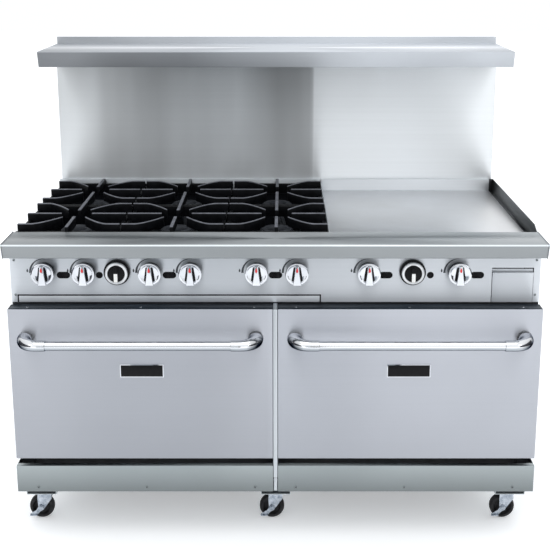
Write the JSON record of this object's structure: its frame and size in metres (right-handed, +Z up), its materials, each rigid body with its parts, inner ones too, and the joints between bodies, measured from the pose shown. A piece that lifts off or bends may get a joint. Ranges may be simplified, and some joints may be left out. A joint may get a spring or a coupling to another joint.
{
  "type": "commercial gas range",
  "caption": "Free-standing commercial gas range with open burners, a griddle, twin drop-door ovens, a backguard, a high shelf and casters.",
  "frame": {"origin": "on the floor, under the middle of the range's box", "axes": "+X to the right seen from the front, +Y from the front to the back, +Z up"},
  "size_m": [1.524, 0.948, 1.422],
  "materials": {
    "stainless": "satin, long brush grain",
    "inner_sheet": "plain mill-finish sheet",
    "griddle_plate": "ground smooth",
    "cast_iron": "black, slightly satin",
    "polished": "polished",
    "black_enamel": "gloss black",
    "zinc": "bright zinc plate",
    "brass": "machined",
    "black_iron_pipe": "black pipe",
    "wheel_rubber": "matt black"
  },
  "bodies": {
    "range_body": {"chassis_frame": "inner_sheet", "side_panel_left": "stainless", "side_panel_right": "stainless", "rear_panel": "inner_sheet", "front_rail": "stainless", "control_panel": "stainless", "burner_box": "inner_sheet", "griddle": "griddle_plate", "gas_manifold": "black_iron_pipe", "gas_valves": "brass", "top_burners": "cast_iron", "tube_burners": "inner_sheet", "oven_liner_left": "inner_sheet", "oven_liner_right": "inner_sheet", "kick_panels": "stainless", "backguard": "stainless", "high_shelf": "stainless", "gas_inlet": "black_iron_pipe", "panel_screws": "polished", "caster_mounts": "zinc"},
    "door_left": {"door_skin_left": "stainless", "door_liner_left": "inner_sheet", "handle_left": "polished", "nameplate_left": "black_enamel"},
    "door_right": {"door_skin_right": "stainless", "door_liner_right": "inner_sheet", "handle_right": "polished", "nameplate_right": "black_enamel"},
    "gas_knob_1": {"gas_knob_1": "polished"},
    "gas_knob_2": {"gas_knob_2": "polished"},
    "gas_knob_3": {"gas_knob_3": "polished"},
    "gas_knob_4": {"gas_knob_4": "polished"},
    "gas_knob_5": {"gas_knob_5": "polished"},
    "gas_knob_6": {"gas_knob_6": "polished"},
    "gas_knob_7": {"gas_knob_7": "polished"},
    "gas_knob_8": {"gas_knob_8": "polished"},
    "oven_dial_left": {"oven_dial_left": "black_enamel"},
    "oven_dial_right": {"oven_dial_right": "black_enamel"},
    "crumb_tray": {"crumb_tray": "stainless"},
    "grease_drawer": {"grease_drawer": "stainless"},
    "oven_rack_left": {"oven_rack_left": "polished"},
    "oven_rack_right": {"oven_rack_right": "polished"},
    "grate_front_1": {"grate_front_1": "cast_iron"},
    "grate_front_2": {"grate_front_2": "cast_iron"},
    "grate_front_3": {"grate_front_3": "cast_iron"},
    "grate_rear_1": {"grate_rear_1": "cast_iron"},
    "grate_rear_2": {"grate_rear_2": "cast_iron"},
    "grate_rear_3": {"grate_rear_3": "cast_iron"},
    "caster_fork_left": {"caster_fork_left": "zinc"},
    "wheel_front_left": {"wheel_front_left": "wheel_rubber"},
    "brake_lever_left": {"brake_lever_left": "zinc"},
    "caster_fork_centre": {"caster_fork_centre": "zinc"},
    "wheel_front_centre": {"wheel_front_centre": "wheel_rubber"},
    "brake_lever_centre": {"brake_lever_centre": "zinc"},
    "caster_fork_right": {"caster_fork_right": "zinc"},
    "wheel_front_right": {"wheel_front_right": "wheel_rubber"},
    "brake_lever_right": {"brake_lever_right": "zinc"},
    "wheel_rear_left": {"wheel_rear_left": "wheel_rubber"},
    "wheel_rear_centre": {"wheel_rear_centre": "wheel_rubber"},
    "wheel_rear_right": {"wheel_rear_right": "wheel_rubber"}
  },
  "joints": [
    {"name": "door_left_hinge", "type": "hinge", "parent": "range_body", "child": "door_left", "pos_m": [-0.3845, -0.375, 0.275], "axis": [1, 0, 0], "range_deg": [0, 90], "stiffness_Nm_per_rad": 8, "springref_deg": -34.38},
    {"name": "door_right_hinge", "type": "hinge", "parent": "range_body", "child": "door_right", "pos_m": [0.3845, -0.375, 0.275], "axis": [1, 0, 0], "range_deg": [0, 90], "stiffness_Nm_per_rad": 8, "springref_deg": -34.38},
    {"name": "gas_knob_1_turn", "type": "hinge", "parent": "range_body", "child": "gas_knob_1", "pos_m": [-0.6635, -0.339, 0.812], "axis": [0, -1, 0], "range_deg": [0, 90]},
    {"name": "gas_knob_2_turn", "type": "hinge", "parent": "range_body", "child": "gas_knob_2", "pos_m": [-0.5475, -0.339, 0.812], "axis": [0, -1, 0], "range_deg": [0, 90]},
    {"name": "gas_knob_3_turn", "type": "hinge", "parent": "range_body", "child": "gas_knob_3", "pos_m": [-0.3585, -0.339, 0.812], "axis": [0, -1, 0], "range_deg": [0, 90]},
    {"name": "gas_knob_4_turn", "type": "hinge", "parent": "range_body", "child": "gas_knob_4", "pos_m": [-0.2425, -0.339, 0.812], "axis": [0, -1, 0], "range_deg": [0, 90]},
    {"name": "gas_knob_5_turn", "type": "hinge", "parent": "range_body", "child": "gas_knob_5", "pos_m": [-0.0535, -0.339, 0.812], "axis": [0, -1, 0], "range_deg": [0, 90]},
    {"name": "gas_knob_6_turn", "type": "hinge", "parent": "range_body", "child": "gas_knob_6", "pos_m": [0.0625, -0.339, 0.812], "axis": [0, -1, 0], "range_deg": [0, 90]},
    {"name": "gas_knob_7_turn", "type": "hinge", "parent": "range_body", "child": "gas_knob_7", "pos_m": [0.268, -0.339, 0.812], "axis": [0, -1, 0], "range_deg": [0, 90]},
    {"name": "gas_knob_8_turn", "type": "hinge", "parent": "range_body", "child": "gas_knob_8", "pos_m": [0.527, -0.339, 0.812], "axis": [0, -1, 0], "range_deg": [0, 90]},
    {"name": "oven_dial_left_turn", "type": "hinge", "parent": "range_body", "child": "oven_dial_left", "pos_m": [-0.454, -0.339, 0.812], "axis": [0, -1, 0], "range_deg": [0, 270]},
    {"name": "oven_dial_right_turn", "type": "hinge", "parent": "range_body", "child": "oven_dial_right", "pos_m": [0.394, -0.339, 0.812], "axis": [0, -1, 0], "range_deg": [0, 270]},
    {"name": "crumb_tray_slide", "type": "slide", "parent": "range_body", "child": "crumb_tray", "axis": [0, -1, 0], "range_m": [0, 0.45]},
    {"name": "grease_drawer_slide", "type": "slide", "parent": "range_body", "child": "grease_drawer", "axis": [0, -1, 0], "range_m": [0, 0.34]},
    {"name": "oven_rack_left_slide", "type": "slide", "parent": "range_body", "child": "oven_rack_left", "axis": [0, -1, 0], "range_m": [0, 0.02]},
    {"name": "oven_rack_right_slide", "type": "slide", "parent": "range_body", "child": "oven_rack_right", "axis": [0, -1, 0], "range_m": [0, 0.02]},
    {"name": "grate_front_1_lift", "type": "slide", "parent": "range_body", "child": "grate_front_1", "axis": [0, 0, 1], "range_m": [0, 0.12]},
    {"name": "grate_front_2_lift", "type": "slide", "parent": "range_body", "child": "grate_front_2", "axis": [0, 0, 1], "range_m": [0, 0.12]},
    {"name": "grate_front_3_lift", "type": "slide", "parent": "range_body", "child": "grate_front_3", "axis": [0, 0, 1], "range_m": [0, 0.12]},
    {"name": "grate_rear_1_lift", "type": "slide", "parent": "range_body", "child": "grate_rear_1", "axis": [0, 0, 1], "range_m": [0, 0.12]},
    {"name": "grate_rear_2_lift", "type": "slide", "parent": "range_body", "child": "grate_rear_2", "axis": [0, 0, 1], "range_m": [0, 0.12]},
    {"name": "grate_rear_3_lift", "type": "slide", "parent": "range_body", "child": "grate_rear_3", "axis": [0, 0, 1], "range_m": [0, 0.12]},
    {"name": "caster_left_swivel", "type": "hinge", "parent": "range_body", "child": "caster_fork_left", "pos_m": [-0.711, -0.277, 0.09], "axis": [0, 0, 1], "continuous": true},
    {"name": "wheel_front_left_roll", "type": "hinge", "parent": "caster_fork_left", "child": "wheel_front_left", "pos_m": [-0.723, -0.277, 0.038], "axis": [0, 1, 0], "continuous": true},
    {"name": "brake_lever_left_press", "type": "hinge", "parent": "caster_fork_left", "child": "brake_lever_left", "pos_m": [-0.723, -0.277, 0.038], "axis": [0, 1, 0], "range_deg": [0, 20]},
    {"name": "caster_centre_swivel", "type": "hinge", "parent": "range_body", "child": "caster_fork_centre", "pos_m": [0, -0.277, 0.09], "axis": [0, 0, 1], "continuous": true},
    {"name": "wheel_front_centre_roll", "type": "hinge", "parent": "caster_fork_centre", "child": "wheel_front_centre", "pos_m": [-0.012, -0.277, 0.038], "axis": [0, 1, 0], "continuous": true},
    {"name": "brake_lever_centre_press", "type": "hinge", "parent": "caster_fork_centre", "child": "brake_lever_centre", "pos_m": [-0.012, -0.277, 0.038], "axis": [0, 1, 0], "range_deg": [0, 20]},
    {"name": "caster_right_swivel", "type": "hinge", "parent": "range_body", "child": "caster_fork_right", "pos_m": [0.711, -0.277, 0.09], "axis": [0, 0, 1], "continuous": true},
    {"name": "wheel_front_right_roll", "type": "hinge", "parent": "caster_fork_right", "child": "wheel_front_right", "pos_m": [0.699, -0.277, 0.038], "axis": [0, 1, 0], "continuous": true},
    {"name": "brake_lever_right_press", "type": "hinge", "parent": "caster_fork_right", "child": "brake_lever_right", "pos_m": [0.699, -0.277, 0.038], "axis": [0, 1, 0], "range_deg": [0, 20]},
    {"name": "wheel_rear_left_roll", "type": "hinge", "parent": "range_body", "child": "wheel_rear_left", "pos_m": [-0.711, 0.315, 0.038], "axis": [1, 0, 0], "continuous": true},
    {"name": "wheel_rear_centre_roll", "type": "hinge", "parent": "range_body", "child": "wheel_rear_centre", "pos_m": [0, 0.315, 0.038], "axis": [1, 0, 0], "continuous": true},
    {"name": "wheel_rear_right_roll", "type": "hinge", "parent": "range_body", "child": "wheel_rear_right", "pos_m": [0.711, 0.315, 0.038], "axis": [1, 0, 0], "continuous": true}
  ]
}
